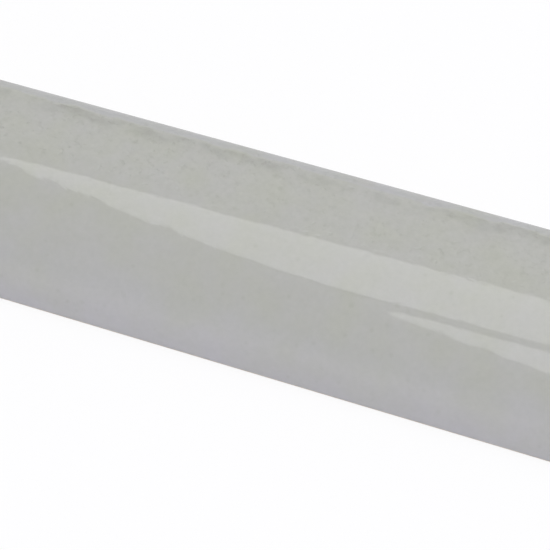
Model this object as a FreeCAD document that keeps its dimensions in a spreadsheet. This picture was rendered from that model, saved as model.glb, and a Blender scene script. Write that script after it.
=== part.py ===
"""Glazed ceramic bullnose tile: a narrow trim tile with one long edge rounded over.

The tile lies on its back. X runs along its length, the rounded nose faces -Y, the square back edge
faces +Y and the glazed face is up. The origin is at the middle of the back. Lengths are in mm.
"""
import FreeCAD, Part
import math
import os

import Sketcher

# Sizes of the tile: name, value, what it measures
SIZES = [
    ("tile_length", 150.0, "length along the nose"),
    ("tile_width", 25.0, "from the front of the nose to the back edge"),
    ("tile_thickness", 12.5, "from the back to the flat of the face"),
    ("nose_reach", 16.0, "from the front of the nose to the start of the flat"),
    ("nose_radius", 7.0, "radius of the lower curve of the nose"),
    ("nose_land", 0.8, "height of the upright foot below the nose"),
    ("edge_roll", 2.7, "radius of the face's roll-off along the back edge"),
    ("edge_roll_width", 1.35, "width of the roll-off, up to the arris"),
    ("edge_arris", 0.6, "radius of the arris between the roll-off and the back edge"),
    ("end_arris", 0.5, "radius of the arris round each end"),
    ("foot_chamfer", 0.35, "chamfer round the back of the tile"),
    ("key_count", 4, "number of keying grooves in the back"),
    ("key_width", 3.0, "width of a keying groove"),
    ("key_depth", 0.8, "depth of a keying groove"),
    ("key_draft", 15.0, "slope of a keying groove's sides, in degrees"),
    ("key_border", 3.2, "plain border of the back round the grooves"),
]

doc = FreeCAD.newDocument("bullnose_tile")
sheet = doc.addObject("Spreadsheet::Sheet", "sizes")
for row, (name, value, note) in enumerate(SIZES, start=1):
    sheet.set("A%d" % row, name)
    sheet.set("B%d" % row, str(value))
    sheet.setAlias("B%d" % row, name)
    sheet.set("C%d" % row, note)
doc.recompute()

START, END, CENTRE = 1, 2, 3
# The sketch's own level axis and origin
LEVEL_AXIS, ORIGIN = -1, (-1, 1)


def new_sketch(body, name, plane):
    """An empty sketch on one of the body's origin planes."""
    sketch = body.newObject("Sketcher::SketchObject", name)
    support = [item for item in body.Origin.OriginFeatures if item.Role == plane][0]
    sketch.AttachmentSupport = [(support, "")]
    sketch.MapMode = "FlatFace"
    return sketch


def line(sketch, start, end):
    return sketch.addGeometry(Part.LineSegment(FreeCAD.Vector(*start, 0), FreeCAD.Vector(*end, 0)))


def arc(sketch, centre, radius, start, end):
    """An arc drawn anticlockwise between two angles in radians."""
    circle = Part.Circle(FreeCAD.Vector(*centre, 0), FreeCAD.Vector(0, 0, 1), radius)
    return sketch.addGeometry(Part.ArcOfCircle(circle, start, end))


def join(sketch, kind, *points):
    """Joins two points of the sketch, by "Coincident" or by "Tangent"."""
    sketch.addConstraint(Sketcher.Constraint(kind, *points))


def measure(sketch, kind, items, name, expression):
    """A driving dimension that takes its value from the sheet."""
    value = sheet.evalExpression(expression.replace("sizes.", ""))
    index = sketch.addConstraint(Sketcher.Constraint(kind, *items, float(value)))
    sketch.renameConstraint(index, name)
    sketch.setExpression("Constraints." + name, expression)


tile = doc.addObject("PartDesign::Body", "bullnose_tile")
tile.Label = "bullnose_tile"

# Section: flat back, upright foot, nose of two tangent curves, flat face that rolls off at the back edge
half = sheet.tile_width / 2
top = sheet.tile_thickness
drop = top - sheet.nose_land
reach_left = sheet.nose_reach - sheet.nose_radius
shoulder = (reach_left**2 + drop**2 - sheet.nose_radius**2) / (2 * (drop - sheet.nose_radius))
meet = math.atan2(shoulder - drop, -reach_left)
face_start = -half + sheet.nose_reach
roll, arris_radius = sheet.edge_roll, sheet.edge_arris
roll_angle = math.asin(sheet.edge_roll_width / roll)
roll_start = half - arris_radius - (roll - arris_radius) * math.sin(roll_angle)
edge_top = top - roll + (roll - arris_radius) * math.cos(roll_angle)

section = new_sketch(tile, "section", "YZ_Plane")
back = line(section, (half, 0), (-half, 0))
foot = line(section, (-half, 0), (-half, sheet.nose_land))
nose = arc(section, (-half + sheet.nose_radius, sheet.nose_land), sheet.nose_radius, meet, math.pi)
brow = arc(section, (face_start, top - shoulder), shoulder, math.pi / 2, meet)
face = line(section, (face_start, top), (roll_start, top))
roll_off = arc(section, (roll_start, top - roll), roll, math.pi / 2 - roll_angle, math.pi / 2)
arris = arc(section, (half - arris_radius, edge_top), arris_radius, 0, math.pi / 2 - roll_angle)
edge = line(section, (half, edge_top), (half, 0))

join(section, "Coincident", back, END, foot, START)
join(section, "Tangent", foot, END, nose, END)
join(section, "Tangent", nose, START, brow, END)
join(section, "Tangent", brow, START, face, START)
join(section, "Tangent", face, END, roll_off, END)
join(section, "Tangent", roll_off, START, arris, END)
join(section, "Tangent", arris, START, edge, START)
join(section, "Coincident", edge, END, back, START)
section.addConstraint(Sketcher.Constraint("PointOnObject", back, START, LEVEL_AXIS))
section.addConstraint(Sketcher.Constraint("Horizontal", back))
section.addConstraint(Sketcher.Constraint("Vertical", foot))
section.addConstraint(Sketcher.Constraint("Horizontal", face))
section.addConstraint(Sketcher.Constraint("Vertical", edge))
measure(section, "DistanceX", (*ORIGIN, back, START), "half_width", "sizes.tile_width / 2")
measure(section, "DistanceX", (back, END, back, START), "width", "sizes.tile_width")
measure(section, "DistanceY", (back, START, face, END), "thickness", "sizes.tile_thickness")
measure(section, "DistanceX", (foot, END, face, START), "reach", "sizes.nose_reach")
measure(section, "DistanceY", (foot, START, foot, END), "land", "sizes.nose_land")
measure(section, "Radius", (nose,), "nose_radius", "sizes.nose_radius")
measure(section, "Radius", (roll_off,), "edge_roll", "sizes.edge_roll")
measure(section, "DistanceX", (face, END, roll_off, START), "roll_width", "sizes.edge_roll_width")
measure(section, "Radius", (arris,), "edge_arris", "sizes.edge_arris")

blank = tile.newObject("PartDesign::Pad", "blank")
blank.Profile = section
blank.SideType = "Symmetric"
blank.setExpression("Length", "sizes.tile_length")
doc.recompute()


def end_outlines(shape):
    """Names of the edges round both ends, all but the two along the back."""
    names = []
    for index, item in enumerate(shape.Edges, start=1):
        box = item.BoundBox
        if box.XLength < 1e-6 and box.ZMax > 1e-6:
            names.append("Edge%d" % index)
    return names


def back_outline(shape):
    """Names of the edges that lie in the plane of the back."""
    return ["Edge%d" % index for index, item in enumerate(shape.Edges, start=1) if item.BoundBox.ZMax < 1e-6]


# Arris round each end, no larger than the one that it meets at the back edge
ends = tile.newObject("PartDesign::Fillet", "ends")
ends.Base = (blank, end_outlines(blank.Shape))
ends.setExpression("Radius", "min(sizes.end_arris; sizes.edge_arris * 0.9)")
doc.recompute()

# Chamfer round the back, smaller than the rounding of the upright corners that it passes
chamfer = tile.newObject("PartDesign::Chamfer", "chamfer")
chamfer.Base = (ends, back_outline(ends.Shape))
chamfer.setExpression("Size", "min(sizes.foot_chamfer; sizes.end_arris * 0.8; sizes.edge_arris * 0.7)")
doc.recompute()

# Keying grooves along the back, with round ends
groove_half = sheet.key_width / 2
groove_y = -half + sheet.key_border + groove_half
straight = sheet.tile_length / 2 - sheet.key_border - groove_half

outline = new_sketch(tile, "groove_outline", "XY_Plane")
near = line(outline, (-straight, groove_y - groove_half), (straight, groove_y - groove_half))
right = arc(outline, (straight, groove_y), groove_half, -math.pi / 2, math.pi / 2)
far = line(outline, (straight, groove_y + groove_half), (-straight, groove_y + groove_half))
left = arc(outline, (-straight, groove_y), groove_half, math.pi / 2, 3 * math.pi / 2)
join(outline, "Tangent", near, END, right, START)
join(outline, "Tangent", right, END, far, START)
join(outline, "Tangent", far, END, left, START)
join(outline, "Tangent", left, END, near, START)
outline.addConstraint(Sketcher.Constraint("Horizontal", near))
measure(outline, "Radius", (right,), "half_groove", "sizes.key_width / 2")
measure(
    outline,
    "DistanceX",
    (*ORIGIN, right, CENTRE),
    "right_end",
    "sizes.tile_length / 2 - sizes.key_border - sizes.key_width / 2",
)
measure(
    outline,
    "DistanceX",
    (left, CENTRE, right, CENTRE),
    "straight",
    "sizes.tile_length - 2 * sizes.key_border - sizes.key_width",
)
measure(
    outline,
    "DistanceY",
    (right, CENTRE, *ORIGIN),
    "offset",
    "sizes.tile_width / 2 - sizes.key_border - sizes.key_width / 2",
)

groove = tile.newObject("PartDesign::Pocket", "groove")
groove.Profile = outline
groove.Reversed = True
groove.setExpression("Length", "sizes.key_depth")
groove.setExpression("TaperAngle", "-sizes.key_draft")
doc.recompute()

grooves = tile.newObject("PartDesign::LinearPattern", "grooves")
grooves.Originals = [groove]
grooves.Direction = (outline, ["V_Axis"])
grooves.setExpression("Length", "sizes.tile_width - 2 * sizes.key_border - sizes.key_width")
grooves.setExpression("Occurrences", "sizes.key_count")
tile.Tip = grooves
doc.recompute()

# Soundness of the model, then the export
for item in doc.Objects:
    if "Invalid" in item.State or "Error" in item.State:
        raise RuntimeError("%s did not compute" % item.Label)
if tile.Shape.isNull() or not tile.Shape.isValid():
    raise RuntimeError("the tile is not a sound solid")
for before, after in ((blank, ends), (ends, chamfer), (chamfer, groove), (groove, grooves)):
    if not after.Shape.Volume < before.Shape.Volume:
        raise RuntimeError("%s takes nothing off the tile" % after.Label)

os.makedirs("parts", exist_ok=True)
tile.Shape.exportStep("parts/%s.step" % tile.Label)
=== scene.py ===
import math

import bmesh
import bpy
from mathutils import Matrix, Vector, noise


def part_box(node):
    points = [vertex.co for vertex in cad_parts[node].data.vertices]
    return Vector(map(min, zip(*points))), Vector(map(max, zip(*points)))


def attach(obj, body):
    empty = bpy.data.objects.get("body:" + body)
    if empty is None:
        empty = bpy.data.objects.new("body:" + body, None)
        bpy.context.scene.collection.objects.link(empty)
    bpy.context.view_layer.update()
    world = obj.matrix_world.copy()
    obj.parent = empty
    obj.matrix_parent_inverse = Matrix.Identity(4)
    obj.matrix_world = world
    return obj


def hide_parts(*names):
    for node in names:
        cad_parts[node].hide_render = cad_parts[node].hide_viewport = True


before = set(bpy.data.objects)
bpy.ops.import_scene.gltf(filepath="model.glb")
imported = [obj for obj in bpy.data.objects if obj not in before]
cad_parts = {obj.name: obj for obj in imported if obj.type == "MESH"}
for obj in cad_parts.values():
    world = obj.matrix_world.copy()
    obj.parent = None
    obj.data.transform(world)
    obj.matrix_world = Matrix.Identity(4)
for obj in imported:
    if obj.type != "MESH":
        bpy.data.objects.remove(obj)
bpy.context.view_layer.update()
scene = bpy.context.scene

MM = 0.001
# Places nearer to each other than this count as one
TINY = 1e-7

# Sizes of the tile, in metres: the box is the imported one, the section is the one it was drawn with
tile_low, tile_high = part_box("bullnose_tile")
LENGTH, WIDTH, THICKNESS = tile_high - tile_low
LEFT, RIGHT = tile_low.x, tile_high.x
FRONT, BACK = tile_low.y, tile_high.y
NOSE_REACH = 16.0 * MM
NOSE_RADIUS = 7.0 * MM
NOSE_LAND = 0.8 * MM
EDGE_ROLL = 2.7 * MM
EDGE_ROLL_WIDTH = 1.35 * MM
EDGE_ARRIS = 0.6 * MM
END_ARRIS = 0.5 * MM
FOOT_CHAMFER = 0.35 * MM
KEY_COUNT = 4
KEY_WIDTH = 3.0 * MM
KEY_DEPTH = 0.8 * MM
KEY_DRAFT = math.radians(15)
KEY_BORDER = 3.2 * MM

# The brow is the long upper curve of the nose, and meets the lower curve where both slope alike
NOSE_DROP = THICKNESS - NOSE_LAND
BROW_REACH = NOSE_REACH - NOSE_RADIUS
BROW_RADIUS = (BROW_REACH**2 + NOSE_DROP**2 - NOSE_RADIUS**2) / (2 * (NOSE_DROP - NOSE_RADIUS))
MEETING_ANGLE = math.atan2(BROW_RADIUS - NOSE_DROP, -BROW_REACH)
FACE_START = FRONT + NOSE_REACH

# The face rolls off towards the back edge, and a small arris joins the two
ROLL_ANGLE = math.asin(EDGE_ROLL_WIDTH / EDGE_ROLL)
ROLL_START = BACK - EDGE_ARRIS - (EDGE_ROLL - EDGE_ARRIS) * math.sin(ROLL_ANGLE)
EDGE_TOP = THICKNESS - EDGE_ROLL + (EDGE_ROLL - EDGE_ARRIS) * math.cos(ROLL_ANGLE)

# The keying grooves lie side by side, each with ends rounded by a hair less than half its width
KEY_START = FRONT + KEY_BORDER
KEY_PITCH = (WIDTH - 2 * KEY_BORDER - KEY_WIDTH) / (KEY_COUNT - 1)
KEY_ROUNDING = KEY_WIDTH * 0.49

# Fineness of the mesh: steps along each stretch of the section, slices along the tile, squares on its ends
FOOT_STEPS = 2
NOSE_STEPS = 14
BROW_STEPS = 46
FACE_STEPS = 22
ROLL_STEPS = 6
ARRIS_STEPS = 6
EDGE_STEPS = 29
KEY_END_STEPS = 6
SLICE = 0.4 * MM
END_SQUARE = 0.5 * MM
SHARP_ANGLE = math.radians(35)


def linear(hex_colour):
    """An sRGB hex colour as linear RGBA."""
    parts = [int(hex_colour[i : i + 2], 16) / 255 for i in (0, 2, 4)]
    return [c / 12.92 if c <= 0.04045 else ((c + 0.055) / 1.055) ** 2.4 for c in parts] + [1.0]


def smooth(ramp, value):
    """0 before the ramp's start, 1 past its end, and an eased rise between."""
    start, end = ramp
    share = min(max((value - start) / (end - start), 0.0), 1.0)
    return share * share * (3 - 2 * share)


def make_object(bm, name):
    """Makes an object of a finished bmesh."""
    mesh = bpy.data.meshes.new(name)
    bm.to_mesh(mesh)
    bm.free()
    made = bpy.data.objects.new(name, mesh)
    scene.collection.objects.link(made)
    return made


# The tile's shape

def draw_on(bm, vert, steps, **spin):
    """Draws a line on from a vertex by spinning it, and returns the line's far end."""
    made = bmesh.ops.spin(bm, geom=[vert], axis=(1, 0, 0), steps=steps, **spin)
    return next(item for item in made["geom_last"] if isinstance(item, bmesh.types.BMVert))


def straight(bm, vert, way, steps):
    """Draws a straight line on from a vertex."""
    return draw_on(bm, vert, steps, cent=(0, 0, 0), dvec=Vector(way) / steps, angle=0)


def arc(bm, vert, centre, angle, steps):
    """Draws an arc on from a vertex, about a line along the tile."""
    return draw_on(bm, vert, steps, cent=(vert.co.x, *centre), angle=angle)


def draw_section(bm):
    """Outline of the section, at the left end: foot, nose of two curves, face, roll-off, arris, edge."""
    start = bm.verts.new((LEFT, FRONT, 0))
    tip = straight(bm, start, (0, 0, NOSE_LAND), FOOT_STEPS)
    tip = arc(bm, tip, (FRONT + NOSE_RADIUS, NOSE_LAND), MEETING_ANGLE - math.pi, NOSE_STEPS)
    tip = arc(bm, tip, (FACE_START, THICKNESS - BROW_RADIUS), math.pi / 2 - MEETING_ANGLE, BROW_STEPS)
    tip = straight(bm, tip, (0, ROLL_START - tip.co.y, 0), FACE_STEPS)
    tip = arc(bm, tip, (ROLL_START, THICKNESS - EDGE_ROLL), -ROLL_ANGLE, ROLL_STEPS)
    tip = arc(bm, tip, (BACK - EDGE_ARRIS, EDGE_TOP), ROLL_ANGLE - math.pi / 2, ARRIS_STEPS)
    tip = straight(bm, tip, (0, 0, -tip.co.z), EDGE_STEPS)
    bm.edges.new((tip, start))


def pull_to_length(bm):
    """Pulls the section out to the tile's length and closes both ends."""
    made = bmesh.ops.extrude_edge_only(bm, edges=bm.edges[:])
    far = [item for item in made["geom"] if isinstance(item, bmesh.types.BMVert)]
    bmesh.ops.translate(bm, verts=far, vec=(LENGTH, 0, 0))
    bmesh.ops.edgeloop_fill(bm, edges=[edge for edge in bm.edges if edge.is_boundary])
    bmesh.ops.recalc_face_normals(bm, faces=bm.faces[:])


def top_of(item):
    """Height of the highest corner of an edge or a face."""
    return max(vert.co.z for vert in item.verts)


def length_of(item):
    """How far an edge or a face reaches along the tile."""
    places = [vert.co.x for vert in item.verts]
    return max(places) - min(places)


def round_ends(bm):
    """Rounds the arris of both ends, all but along the back."""
    arris = [edge for edge in bm.edges if length_of(edge) < TINY and top_of(edge) > TINY]
    bmesh.ops.bevel(
        bm, geom=arris, offset=END_ARRIS, segments=ARRIS_STEPS, profile=0.5, affect="EDGES", material=-1
    )


def chamfer_foot(bm):
    """Takes the sharp edge off all round the back."""
    outline = [edge for edge in bm.edges if top_of(edge) < TINY]
    bmesh.ops.bevel(
        bm, geom=outline, offset=FOOT_CHAMFER, segments=1, profile=0.5, affect="EDGES", material=-1
    )


def cut(bm, faces, place, way):
    """Cuts faces by a plane, and returns what the cut leaves of them."""
    parts = dict.fromkeys(item for face in faces for item in (*face.verts, *face.edges))
    made = bmesh.ops.bisect_plane(bm, geom=[*faces, *parts], plane_co=place, plane_no=way, dist=TINY)
    return [item for item in made["geom"] if isinstance(item, bmesh.types.BMFace)]


def back_faces(bm):
    """Faces that lie in the plane of the back."""
    return [face for face in bm.faces if top_of(face) < TINY]


def key_faces(bm):
    """Long faces of the back that lie in the rows of the keying grooves."""
    found = []
    for face in back_faces(bm):
        past_start = face.calc_center_median().y - KEY_START
        in_row = 0 < past_start < KEY_PITCH * KEY_COUNT and past_start % KEY_PITCH < KEY_WIDTH
        if in_row and length_of(face) > LENGTH / 2:
            found.append(face)
    return found


def press_grooves(bm):
    """Presses the keying grooves into the back: sloped sides and round ends."""
    for groove in range(KEY_COUNT):
        for side in (0, KEY_WIDTH):
            cut(bm, back_faces(bm), (0, KEY_START + groove * KEY_PITCH + side, 0), (0, 1, 0))
    for end in (LEFT + KEY_BORDER, RIGHT - KEY_BORDER):
        cut(bm, key_faces(bm), (end, 0, 0), (1, 0, 0))
    corners = [
        vert
        for vert in bm.verts
        if vert.co.z < TINY and abs(abs(vert.co.x) - (RIGHT - KEY_BORDER)) < TINY
    ]
    bmesh.ops.bevel(
        bm,
        geom=corners,
        offset=KEY_ROUNDING,
        segments=KEY_END_STEPS,
        profile=0.5,
        affect="VERTICES",
        material=-1,
    )
    bmesh.ops.inset_individual(
        bm, faces=key_faces(bm), thickness=KEY_DEPTH * math.tan(KEY_DRAFT), depth=-KEY_DEPTH
    )


def slice_lengthwise(bm):
    """Cuts the long faces into short ones, from left to right."""
    uncut = [face for face in bm.faces if length_of(face) > LENGTH / 2]
    reach = LENGTH - 2 * END_ARRIS
    count = round(reach / SLICE)
    for step in range(1, count):
        place = LEFT + END_ARRIS + reach * step / count
        made = cut(bm, uncut, (place, 0, 0), (1, 0, 0))
        uncut = [face for face in made if face.calc_center_median().x > place]


def square_ends(bm):
    """Cuts the two flat ends into small squares, so that the glaze can run down them."""
    for way, low, reach in ((Vector((0, 1, 0)), FRONT, WIDTH), (Vector((0, 0, 1)), 0, THICKNESS)):
        count = round(reach / END_SQUARE)
        for step in range(1, count):
            ends = [face for face in bm.faces if abs(face.calc_center_median().x) > RIGHT - 10 * TINY]
            cut(bm, ends, way * (low + reach * step / count), way)


# The glaze: a coat of uneven depth, poured over the face and nose, thin on the arrises and bare below
GLAZE_COAT = 0.15 * MM

# Shares of the coat that are lost on an arris, and gained in a pool and in the bead above the lip
ARRIS_LOSS = 0.42
POOL_GAIN = 0.23
BEAD_GAIN = 0.35

# The lower lip of the coat: its height on the foot of the nose, and how far it comes down the edge and ends
FOOT_LIP = 0.45 * MM
EDGE_REACH = 4.3 * MM

# Runs below the lip, which start where their own wave rises past the onset
RUN_SPACING = 5.5 * MM
RUN_LENGTH = 5.0 * MM
RUN_ONSET = 0.12
RUN_SEED = 1

# The line where the coat of the face thins towards the back edge, and the patchy pool before that line
THIN_LINE = ROLL_START - 0.2 * MM
POOL_MEAN = 0.75
POOL_MOST = 1.4
POOL_STRETCH = 2

# How far one seed lies from the next in the noise
SEED_STEP = Vector((7.31, 3.17, 5.73))

# Waves of the lip, the thin line, the pool and the whole coat: spacing, height and seed of each
LIP_WAVES = [(14 * MM, 1.6 * MM, 2)]
THIN_LINE_WAVES = [(3.5 * MM, 0.4 * MM, 3), (1.3 * MM, 0.3 * MM, 4)]
POOL_WAVES = [(2.6 * MM, 0.7, 105), (0.8 * MM, 0.6, 6)]
COAT_WAVES = [(1 * MM, 0.012, 7), (2.4 * MM, 0.055, 8), (5 * MM, 0.07, 9)]

# Ramps by how far the surface faces up, and by how far it faces to the back edge or an end
OFF_THE_BACK = (-0.2, -0.05)
SIDEWAYS = (0.55, 0.95)
UPRIGHT = (0.8, 1.0)

# Ramps by the height above the lip
LIP_COVER = (-0.25 * MM, 0.35 * MM)
BEAD_RISE = (0.1 * MM, 0.5 * MM)
BEAD_FALL = (0.7 * MM, 1.7 * MM)

# Ramps by the distance past the thin line, and past the start of an end's arris
EDGE_THINS = (-0.15 * MM, 0.3 * MM)
POOL_RISE = (-2.8 * MM, -0.5 * MM)
POOL_FALL = (-0.05 * MM, 0.25 * MM)
END_THINS = (-0.2 * MM, 0.4 * MM)

# Ramp by height: the foot, which the tile stands on, keeps its shape
FOOT_ROOM = (0.1 * MM, 1.5 * MM)


def drift(place, spacing, seed):
    """Smooth noise from about -1 to 1, with swells about twice the spacing apart."""
    return noise.noise(place * (1 / spacing) + SEED_STEP * seed)


def swell(place, waves):
    """Height of several waves together."""
    return sum(height * drift(place, spacing, seed) for spacing, height, seed in waves)


def level(place):
    """The spot straight below a place, level with the back."""
    return Vector((place.x, place.y, 0))


def height_at(y):
    """Height of the section's outline at a place across the tile."""
    ahead = FACE_START - y
    if ahead <= 0:
        return THICKNESS
    if ahead < BROW_RADIUS * -math.cos(MEETING_ANGLE):
        return THICKNESS - BROW_RADIUS + math.sqrt(BROW_RADIUS**2 - ahead**2)
    inside = NOSE_RADIUS**2 - (y - FRONT - NOSE_RADIUS) ** 2
    return NOSE_LAND + math.sqrt(max(inside, 0))


def above_lip(place, side):
    """Height above the lower lip of the glaze, which is at the foot of the nose and runs down the edges."""
    runs = max(drift(level(place), RUN_SPACING, RUN_SEED) - RUN_ONSET, 0) * RUN_LENGTH
    reach = EDGE_REACH + swell(level(place), LIP_WAVES) + runs
    lip = FOOT_LIP + (height_at(place.y) - reach - FOOT_LIP) * smooth(SIDEWAYS, side)
    return place.z - lip


def pool_share(place, past_line):
    """How far the glaze pools at a place before the thin line, in patches drawn out along the tile."""
    stretched = Vector((place.x / POOL_STRETCH, place.y, 0))
    patch = min(max(POOL_MEAN + swell(stretched, POOL_WAVES), 0.0), POOL_MOST)
    return patch * smooth(POOL_RISE, past_line) * (1 - smooth(POOL_FALL, past_line))


def off_the_back(normal):
    """1 on the face, nose, edges and ends, 0 on the back and in its grooves."""
    return smooth(OFF_THE_BACK, normal.z)


def glaze_depth(place, normal):
    """Depth of the glaze at a place on the tile: 0 is bare clay and 1 the usual coat."""
    side = math.hypot(max(normal.y, 0), normal.x)
    upright = smooth(UPRIGHT, side)
    above = above_lip(place, side)
    cover = smooth(LIP_COVER, above) * off_the_back(normal)
    bead = upright * smooth(BEAD_RISE, above) * (1 - smooth(BEAD_FALL, above))

    past_line = place.y - THIN_LINE + swell(level(place), THIN_LINE_WAVES)
    into_arris = abs(place.x) - (RIGHT - END_ARRIS)
    thin = max(smooth(EDGE_THINS, past_line), smooth(END_THINS, into_arris)) * (1 - upright)
    pool = pool_share(place, past_line) * (1 - upright)

    change = POOL_GAIN * pool + BEAD_GAIN * bead - ARRIS_LOSS * thin
    return cover * (1 + change + swell(place, COAT_WAVES))


def pour_glaze(bm):
    """Raises and lowers the surface by the depth of the glaze, and keeps the depth for the material."""
    bm.normal_update()
    layer = bm.verts.layers.float.new("glaze_depth")
    moves = []
    for vert in bm.verts:
        vert[layer] = glaze_depth(vert.co, vert.normal)
        room = smooth(FOOT_ROOM, vert.co.z) * off_the_back(vert.normal)
        moves.append(vert.normal * ((vert[layer] - 1) * GLAZE_COAT * room))
    for vert, move in zip(bm.verts, moves):
        vert.co += move


def make_tile():
    """The tile: its section pulled to length, trimmed, grooved, cut up finely and glazed."""
    bm = bmesh.new()
    draw_section(bm)
    pull_to_length(bm)
    round_ends(bm)
    chamfer_foot(bm)
    press_grooves(bm)
    slice_lengthwise(bm)
    square_ends(bm)
    bmesh.ops.remove_doubles(bm, verts=bm.verts[:], dist=TINY)
    pour_glaze(bm)
    piece = make_object(bm, "glazed_tile")
    piece.data.shade_smooth()
    piece.data.set_sharp_from_angle(angle=SHARP_ANGLE)
    return piece


tile = make_tile()
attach(tile, "root")
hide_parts("bullnose_tile")

# Materials

# Sockets of the Mix node: its factor, then the two values and the result, as numbers and as colours
FACTOR = 0
FIRST_NUMBER, SECOND_NUMBER, MIXED_NUMBER = 2, 3, 0
FIRST, SECOND, MIXED = 6, 7, 2

# Settings that several nodes share
BLEND = {"data_type": "RGBA"}
TINT = {"data_type": "RGBA", "blend_type": "MULTIPLY"}
MULTIPLY = {"operation": "MULTIPLY"}
ADD = {"operation": "ADD"}


def add_node(tree, kind, settings=(), inputs=(), links=(), stops=()):
    """Adds a node with its settings, its inputs' values, what feeds them and a colour ramp's stops."""
    node = tree.nodes.new(kind)
    for name, value in dict(settings).items():
        setattr(node, name, value)
    for name, value in dict(inputs).items():
        node.inputs[name].default_value = value
    for name, socket in dict(links).items():
        tree.links.new(socket, node.inputs[name])
    for index, (position, colour) in enumerate(stops):
        if index >= len(node.color_ramp.elements):
            node.color_ramp.elements.new(1.0)
        node.color_ramp.elements[index].position = position
        node.color_ramp.elements[index].color = colour
    return node


def new_tree(owner):
    """An empty node tree for a material, a lamp or the world."""
    owner.use_nodes = True
    owner.node_tree.nodes.clear()
    return owner.node_tree


# Heights just under the flat of the face, between which its fine marks ease off
FACE_FADE_LOW = THICKNESS - 0.22 * MM
FACE_FADE_HIGH = THICKNESS - 0.03 * MM


def on_face(tree, place, on_nose):
    """1 on the flat of the face, easing to a smaller share down the nose."""
    split = add_node(tree, "ShaderNodeSeparateXYZ", links={0: place})
    return add_node(
        tree,
        "ShaderNodeMapRange",
        inputs={"From Min": FACE_FADE_LOW, "From Max": FACE_FADE_HIGH, "To Min": on_nose},
        links={"Value": split.outputs["Z"]},
    ).outputs["Result"]


# Colours of the coat by its depth: clay showing through, thin, whole from one depth to another, pooled. The
# cool tint of the thin coat, where it rolls over the arrises, is partly real thinning and partly painted
# reflection of a cool backdrop.
COAT_COLOURS_WITH_PAINTED_REFLECTION = [(0.24, "c3beb3"), (0.58, "bbbbbd"), (0.92, "bbbbb8"), (1.08, "babab6"), (1.32, "adada9")]
DEEPEST = 2.0
# Painted bounce light: the lilac grey the coat turns towards near the foot, and the height over which it
# fades out
PAINTED_FLOOR_BOUNCE_COLOUR = "bab9bb"
PAINTED_FLOOR_BOUNCE_HEIGHT = 8 * MM


def coat_colour_with_painted_light(tree, place, depth):
    """Pale grey, warm where clay shows through and darker in pools; its cool tint where the coat is thin on
    the arrises is partly painted reflection, and the lilac tint near the foot is painted bounce light from
    the floor.
    """
    share = add_node(tree, "ShaderNodeMath", MULTIPLY, {1: 1 / DEEPEST}, {0: depth})
    coat = add_node(
        tree,
        "ShaderNodeValToRGB",
        links={0: share.outputs[0]},
        stops=[(at / DEEPEST, linear(colour)) for at, colour in COAT_COLOURS_WITH_PAINTED_REFLECTION],
    )
    # Painted bounce light: within 8 mm of the floor the coat is mixed towards a cool lilac grey, standing
    # in for the cool light the floor throws back onto the foot of the nose
    split = add_node(tree, "ShaderNodeSeparateXYZ", links={0: place})
    low = add_node(
        tree,
        "ShaderNodeMapRange",
        inputs={"From Min": PAINTED_FLOOR_BOUNCE_HEIGHT, "From Max": 0},
        links={"Value": split.outputs["Z"]},
    )
    return add_node(
        tree,
        "ShaderNodeMix",
        BLEND,
        {SECOND: linear(PAINTED_FLOOR_BOUNCE_COLOUR)},
        {FACTOR: low.outputs["Result"], FIRST: coat.outputs["Color"]},
    ).outputs[MIXED]


def clouds(tree, place):
    """Faint clouds in the glaze, some 6 mm wide."""
    cloud = 6 * MM
    drifts = add_node(
        tree, "ShaderNodeTexNoise", inputs={"Scale": 1 / cloud, "Detail": 2.0}, links={"Vector": place}
    )
    return add_node(
        tree,
        "ShaderNodeMapRange",
        inputs={"From Min": 0.35, "From Max": 0.65},
        links={"Value": drifts.outputs["Fac"]},
    ).outputs["Result"]


def mottle(tree, place, depth):
    """Fine mottle of the glaze, under a millimetre wide, stronger in pools and fainter on the nose."""
    fleck = 0.8 * MM
    flecks = add_node(
        tree,
        "ShaderNodeTexNoise",
        inputs={"Scale": 1 / fleck, "Detail": 3.0, "Roughness": 0.65},
        links={"Vector": place},
    )
    pooled = add_node(
        tree,
        "ShaderNodeMapRange",
        inputs={"From Min": 1.0, "From Max": 1.35, "To Min": 1.0, "To Max": 1.5},
        links={"Value": depth},
    )
    strength = add_node(
        tree,
        "ShaderNodeMath",
        MULTIPLY,
        links={0: pooled.outputs["Result"], 1: on_face(tree, place, on_nose=0.7)},
    )
    return add_node(
        tree, "ShaderNodeMath", MULTIPLY, links={0: flecks.outputs["Fac"], 1: strength.outputs[0]}
    ).outputs[0]


def dimples(tree, place):
    """Shallow dents that gas leaves in the glaze: half a millimetre wide, uneven, some in crowds."""
    grain = 0.9 * MM
    crowd = 5 * MM
    grains = add_node(
        tree, "ShaderNodeTexNoise", inputs={"Scale": 1 / grain, "Detail": 1.5}, links={"Vector": place}
    )
    dents = add_node(
        tree,
        "ShaderNodeMapRange",
        {"interpolation_type": "SMOOTHSTEP"},
        {"From Min": 0.53, "From Max": 0.76},
        {"Value": grains.outputs["Fac"]},
    )
    patches = add_node(tree, "ShaderNodeTexNoise", inputs={"Scale": 1 / crowd}, links={"Vector": place})
    crowds = add_node(
        tree,
        "ShaderNodeMapRange",
        inputs={"From Min": 0.35, "From Max": 0.6, "To Min": 0.3},
        links={"Value": patches.outputs["Fac"]},
    )
    crowded = add_node(
        tree, "ShaderNodeMath", MULTIPLY, links={0: dents.outputs["Result"], 1: crowds.outputs["Result"]}
    )
    return add_node(
        tree,
        "ShaderNodeMath",
        MULTIPLY,
        links={0: crowded.outputs[0], 1: on_face(tree, place, on_nose=0.06)},
    ).outputs[0]


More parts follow.
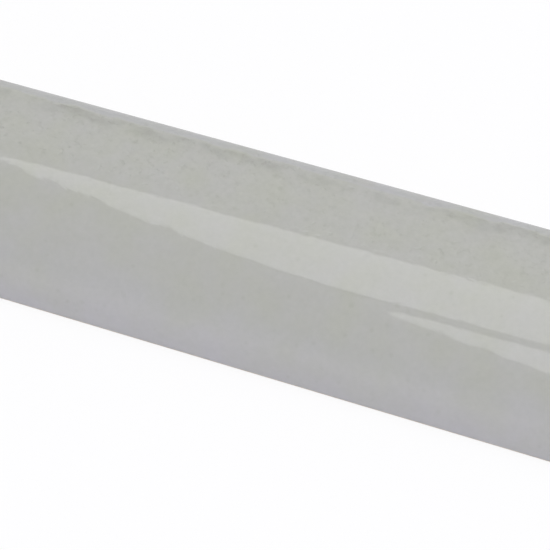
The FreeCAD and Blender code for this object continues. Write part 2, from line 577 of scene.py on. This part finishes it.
def specks(tree, place):
    """Small darker specks in the glaze: under half a millimetre wide, ragged, thinly strewn."""
    spacing = 2.0 * MM
    radius = 0.4 * MM
    raggedness = 0.3
    centres = add_node(tree, "ShaderNodeTexVoronoi", inputs={"Scale": 1 / spacing}, links={"Vector": place})
    ragged = add_node(
        tree, "ShaderNodeTexNoise", inputs={"Scale": 1 / radius, "Detail": 1.0}, links={"Vector": place}
    )
    reach = add_node(
        tree,
        "ShaderNodeMath",
        {"operation": "MULTIPLY_ADD"},
        {1: raggedness},
        {0: ragged.outputs["Fac"], 2: centres.outputs["Distance"]},
    )
    middle = raggedness / 2
    return add_node(
        tree,
        "ShaderNodeMapRange",
        inputs={"From Min": middle + radius / spacing, "From Max": middle},
        links={"Value": reach.outputs[0]},
    ).outputs["Result"]


def glaze_colour(tree, place, depth, pits):
    """Colour of the coat, tinted by its clouds, its mottle, its pits and its specks."""
    colour = coat_colour_with_painted_light(tree, place, depth)
    tints = [
        ("fdfef8", clouds(tree, place)),
        ("ededec", mottle(tree, place, depth)),
        ("f8f8f7", pits),
        ("f7f7f5", specks(tree, place)),
    ]
    for tint, share in tints:
        tinted = add_node(
            tree, "ShaderNodeMix", TINT, {SECOND: linear(tint)}, {FACTOR: share, FIRST: colour}
        )
        colour = tinted.outputs[MIXED]
    return colour


def clay_colour(tree, place):
    """Fired buff clay: a sandy ground with darker grains, drawn coarser than real so that they show."""
    grain = 0.5 * MM
    sand = add_node(
        tree, "ShaderNodeTexNoise", inputs={"Scale": 1 / grain, "Detail": 4.0}, links={"Vector": place}
    )
    return add_node(
        tree,
        "ShaderNodeValToRGB",
        links={0: sand.outputs["Fac"]},
        stops=[(0.25, linear("c4b8a4")), (0.5, linear("d1c6b3")), (0.75, linear("d9cfbf"))],
    ).outputs["Color"]


def surface_relief(tree, place, pits, cover):
    """Height in millimetres: pits and a faint ripple in the glaze, grit as coarse as the clay's grains."""
    pit_depth = 0.05
    ripple_height = 0.018
    ripple_width = 0.7 * MM
    grit_height = 0.09
    grit_width = 0.6 * MM
    ripple = add_node(
        tree,
        "ShaderNodeTexNoise",
        inputs={"Scale": 1 / ripple_width, "Detail": 1.0},
        links={"Vector": place},
    )
    eased = add_node(
        tree,
        "ShaderNodeMath",
        MULTIPLY,
        links={0: ripple.outputs["Fac"], 1: on_face(tree, place, on_nose=0.1)},
    )
    rippled = add_node(tree, "ShaderNodeMath", MULTIPLY, {1: ripple_height}, {0: eased.outputs[0]})
    glazed = add_node(
        tree,
        "ShaderNodeMath",
        {"operation": "MULTIPLY_ADD"},
        {1: -pit_depth},
        {0: pits, 2: rippled.outputs[0]},
    )
    grit = add_node(
        tree, "ShaderNodeTexNoise", inputs={"Scale": 1 / grit_width, "Detail": 4.0}, links={"Vector": place}
    )
    gritty = add_node(tree, "ShaderNodeMath", MULTIPLY, {1: grit_height}, {0: grit.outputs["Fac"]})
    height = add_node(
        tree,
        "ShaderNodeMix",
        links={FACTOR: cover, FIRST_NUMBER: gritty.outputs[0], SECOND_NUMBER: glazed.outputs[0]},
    )
    return add_node(
        tree, "ShaderNodeBump", inputs={"Distance": MM}, links={"Height": height.outputs[MIXED_NUMBER]}
    ).outputs["Normal"]


# Roughness by the glaze's depth: bare clay, a thin film, a whole coat
ROUGHNESS = [(0.2, 0.9), (0.4, 0.35), (0.8, 0.035)]
GLAZE_IOR = 1.52


def glazed_earthenware():
    """Fired buff clay under a pale grey gloss glaze, which mirrors the lights, less so where it is thin."""
    material = bpy.data.materials.new("glazed_earthenware")
    tree = new_tree(material)
    place = add_node(tree, "ShaderNodeTexCoord").outputs["Object"]
    depth = add_node(tree, "ShaderNodeAttribute", {"attribute_name": "glaze_depth"}).outputs["Fac"]
    cover = add_node(
        tree, "ShaderNodeMapRange", inputs={"From Min": 0.2, "From Max": 0.4}, links={"Value": depth}
    ).outputs["Result"]
    pits = dimples(tree, place)
    colour = add_node(
        tree,
        "ShaderNodeMix",
        BLEND,
        links={
            FACTOR: cover,
            FIRST: clay_colour(tree, place),
            SECOND: glaze_colour(tree, place, depth, pits),
        },
    )
    roughness = add_node(
        tree,
        "ShaderNodeValToRGB",
        links={0: depth},
        stops=[(at, (rough, rough, rough, 1)) for at, rough in ROUGHNESS],
    )
    gloss = add_node(
        tree,
        "ShaderNodeMapRange",
        inputs={"From Min": 0.55, "From Max": 0.85, "To Min": 0.02, "To Max": 0.5},
        links={"Value": depth},
    )
    shader = add_node(
        tree,
        "ShaderNodeBsdfPrincipled",
        inputs={"IOR": GLAZE_IOR},
        links={
            "Base Color": colour.outputs[MIXED],
            "Roughness": roughness.outputs["Color"],
            "Specular IOR Level": gloss.outputs["Result"],
            "Normal": surface_relief(tree, place, pits, cover),
        },
    )
    add_node(tree, "ShaderNodeOutputMaterial", links={"Surface": shader.outputs["BSDF"]})
    return material


tile.data.materials.append(glazed_earthenware())

# Floor: a plain white surface, shown nearly pure white with the tile's shadow left on it
FLOOR_WHITE = 0.9
FLOOR_HALF = 3.0
FLOOR_GAP = 0.02 * MM
FLOOR_OPENING_BORDER = 0.6 * MM


def white_floor():
    """White paint, cool in the light it throws back."""
    material = bpy.data.materials.new("white_floor")
    tree = new_tree(material)
    path = add_node(tree, "ShaderNodeLightPath")
    matt = add_node(tree, "ShaderNodeBsdfDiffuse", inputs={"Color": linear("f8f6ff")})
    glow = add_node(tree, "ShaderNodeEmission", inputs={"Color": linear("ffffff"), "Strength": 1.0})
    mirrored = add_node(
        tree,
        "ShaderNodeMath",
        ADD,
        links={0: path.outputs["Is Glossy Ray"], 1: path.outputs["Is Transmission Ray"]},
    )
    seen = add_node(
        tree,
        "ShaderNodeMath",
        {**ADD, "use_clamp": True},
        links={0: path.outputs["Is Camera Ray"], 1: mirrored.outputs[0]},
    )
    share = add_node(tree, "ShaderNodeMath", MULTIPLY, {1: FLOOR_WHITE}, {0: seen.outputs[0]})
    blend = add_node(
        tree,
        "ShaderNodeMixShader",
        links={0: share.outputs[0], 1: matt.outputs["BSDF"], 2: glow.outputs["Emission"]},
    )
    add_node(tree, "ShaderNodeOutputMaterial", links={"Surface": blend.outputs[0]})
    return material


def make_floor():
    """A plane a hair below the tile, with an opening that the tile covers: its back shows from below."""
    bm = bmesh.new()
    bmesh.ops.create_grid(bm, x_segments=1, y_segments=1, size=FLOOR_HALF)
    bmesh.ops.translate(bm, verts=bm.verts[:], vec=(0, 0, -FLOOR_GAP))
    border = Vector((FLOOR_OPENING_BORDER, FLOOR_OPENING_BORDER, 0))
    for corner in (tile_low + border, tile_high - border):
        for way in ((1, 0, 0), (0, 1, 0)):
            cut(bm, bm.faces[:], corner, way)
    opening = min(bm.faces, key=lambda face: face.calc_center_median().length)
    bmesh.ops.delete(bm, geom=[opening], context="FACES")
    floor = make_object(bm, "floor")
    floor.data.materials.append(white_floor())


make_floor()

# Light of the room by the height that it comes from: 0 is level, 1 is straight above
WALL_LIGHT = [(0.29, (0.97, 0.955, 1, 1)), (0.44, (0.48, 0.51, 0.60, 1)), (0.75, (0.36, 0.36, 0.35, 1))]
REAR_LIGHT = [(0.12, (1, 1, 1, 1)), (0.5, (0.8, 0.8, 0.79, 1))]


def light_room():
    """A pale room: nearly white low down, cool above that, dimmer overhead and brighter behind the tile."""
    world = bpy.data.worlds.new("pale_room")
    scene.world = world
    tree = new_tree(world)
    place = add_node(tree, "ShaderNodeTexCoord")
    split = add_node(tree, "ShaderNodeSeparateXYZ", links={0: place.outputs["Generated"]})
    walls = add_node(tree, "ShaderNodeValToRGB", links={0: split.outputs["Z"]}, stops=WALL_LIGHT)
    rear = add_node(tree, "ShaderNodeValToRGB", links={0: split.outputs["Z"]}, stops=REAR_LIGHT)
    behind = add_node(
        tree,
        "ShaderNodeMapRange",
        inputs={"From Min": 0.1, "From Max": 0.7},
        links={"Value": split.outputs["Y"]},
    )
    room = add_node(
        tree,
        "ShaderNodeMix",
        BLEND,
        links={
            FACTOR: behind.outputs["Result"],
            FIRST: walls.outputs["Color"],
            SECOND: rear.outputs["Color"],
        },
    )
    light = add_node(tree, "ShaderNodeBackground", links={"Color": room.outputs[MIXED]})
    add_node(tree, "ShaderNodeOutputWorld", links={"Surface": light.outputs[0]})


light_room()


def area_light(name, length, depth, radiance):
    """A flat light with an evenly bright surface, which the camera doesn't see."""
    lamp = bpy.data.lights.new(name, "AREA")
    lamp.shape = "RECTANGLE"
    lamp.size, lamp.size_y = length, depth
    lamp.energy = radiance * math.pi * length * depth
    light = bpy.data.objects.new(name, lamp)
    light.visible_camera = False
    scene.collection.objects.link(light)
    return light


# Two softboxes side by side overhead, turned about as far as the camera and so askew to the tile
SOFTBOX_TURN = math.radians(21.3)
SOFTBOX_HEIGHT = 1175 * MM
SOFTBOX_LEFT = -363 * MM
SOFTBOX_LENGTH = 1400 * MM
SOFTBOX_CORNER = 90 * MM
SOFTBOX_RADIANCE = 1.7


def round_corners(lamp):
    """Darkens the corners of a softbox, so that they are round."""
    tree = new_tree(lamp)
    share = add_node(tree, "ShaderNodeNewGeometry").outputs["Parametric"]
    size = Vector((lamp.size, lamp.size_y, 0))
    inner = size / 2 - Vector((SOFTBOX_CORNER, SOFTBOX_CORNER, 0))
    place = add_node(
        tree, "ShaderNodeVectorMath", {"operation": "MULTIPLY_ADD"}, {1: size, 2: -size / 2}, {0: share}
    )
    folded = add_node(tree, "ShaderNodeVectorMath", {"operation": "ABSOLUTE"}, links={0: place.outputs[0]})
    past = add_node(
        tree, "ShaderNodeVectorMath", {"operation": "SUBTRACT"}, {1: inner}, {0: folded.outputs[0]}
    )
    outer = add_node(tree, "ShaderNodeVectorMath", {"operation": "MAXIMUM"}, links={0: past.outputs[0]})
    reach = add_node(tree, "ShaderNodeVectorMath", {"operation": "LENGTH"}, links={0: outer.outputs[0]})
    lit = add_node(
        tree,
        "ShaderNodeMath",
        {"operation": "LESS_THAN"},
        {1: SOFTBOX_CORNER},
        {0: reach.outputs["Value"]},
    )
    glow = add_node(tree, "ShaderNodeEmission", links={"Strength": lit.outputs[0]})
    add_node(tree, "ShaderNodeOutputLight", links={"Surface": glow.outputs["Emission"]})


def hang_softbox(name, front, back):
    """A softbox that faces down, between two distances behind the tile."""
    box = area_light(name, SOFTBOX_LENGTH, back - front, SOFTBOX_RADIANCE)
    round_corners(box.data)
    along, over = SOFTBOX_LEFT + SOFTBOX_LENGTH / 2, (front + back) / 2
    box.location = (
        along * math.cos(SOFTBOX_TURN) - over * math.sin(SOFTBOX_TURN),
        along * math.sin(SOFTBOX_TURN) + over * math.cos(SOFTBOX_TURN),
        SOFTBOX_HEIGHT,
    )
    box.rotation_euler = (0, 0, SOFTBOX_TURN)


hang_softbox("rear_softbox", front=-181 * MM, back=532 * MM)
hang_softbox("front_softbox", front=-1009 * MM, back=-296 * MM)

# A strip light off either end, before the nose: they show in the gloss of views along the tile
STRIP_PLACE = Vector((1190, -760, 1120)) * MM
STRIP_LENGTH = 1400 * MM
STRIP_HEIGHT = 400 * MM
STRIP_RADIANCE = 2.0


def stand_strip_light(name, side):
    """A strip light that faces the tile and is seen in its gloss alone, so that it adds no other light."""
    strip = area_light(name, STRIP_LENGTH, STRIP_HEIGHT, STRIP_RADIANCE)
    strip.visible_diffuse = False
    strip.location = (side * STRIP_PLACE.x, STRIP_PLACE.y, STRIP_PLACE.z)
    strip.rotation_euler = strip.location.to_track_quat("Z", "Y").to_euler()


stand_strip_light("left_strip_light", -1)
stand_strip_light("right_strip_light", 1)

# Camera: from the nose side, looking down, turned so that the left end recedes
CAMERA_TURN = math.radians(20.5)
CAMERA_RISE = math.radians(50.0)
CAMERA_REACH = 267.8 * MM
CAMERA_AIM = Vector((0, -1.39 * MM, 6.0 * MM))
CAMERA_LENS = 142.8
CAMERA_SENSOR = 36.0
CAMERA_NEAREST = 10 * MM


def place_camera():
    """Stands the camera back from its aim and gives it to the scene."""
    way_back = Vector(
        (
            math.sin(CAMERA_TURN) * math.cos(CAMERA_RISE),
            -math.cos(CAMERA_TURN) * math.cos(CAMERA_RISE),
            math.sin(CAMERA_RISE),
        )
    )
    camera = bpy.data.objects.new("camera", bpy.data.cameras.new("camera"))
    camera.data.sensor_width = CAMERA_SENSOR
    camera.data.lens = CAMERA_LENS
    camera.data.clip_start = CAMERA_NEAREST
    camera.location = CAMERA_AIM + way_back * CAMERA_REACH
    camera.rotation_euler = (-way_back).to_track_quat("-Z", "Y").to_euler()
    scene.collection.objects.link(camera)
    scene.camera = camera


place_camera()

scene.view_settings.view_transform = "Standard"
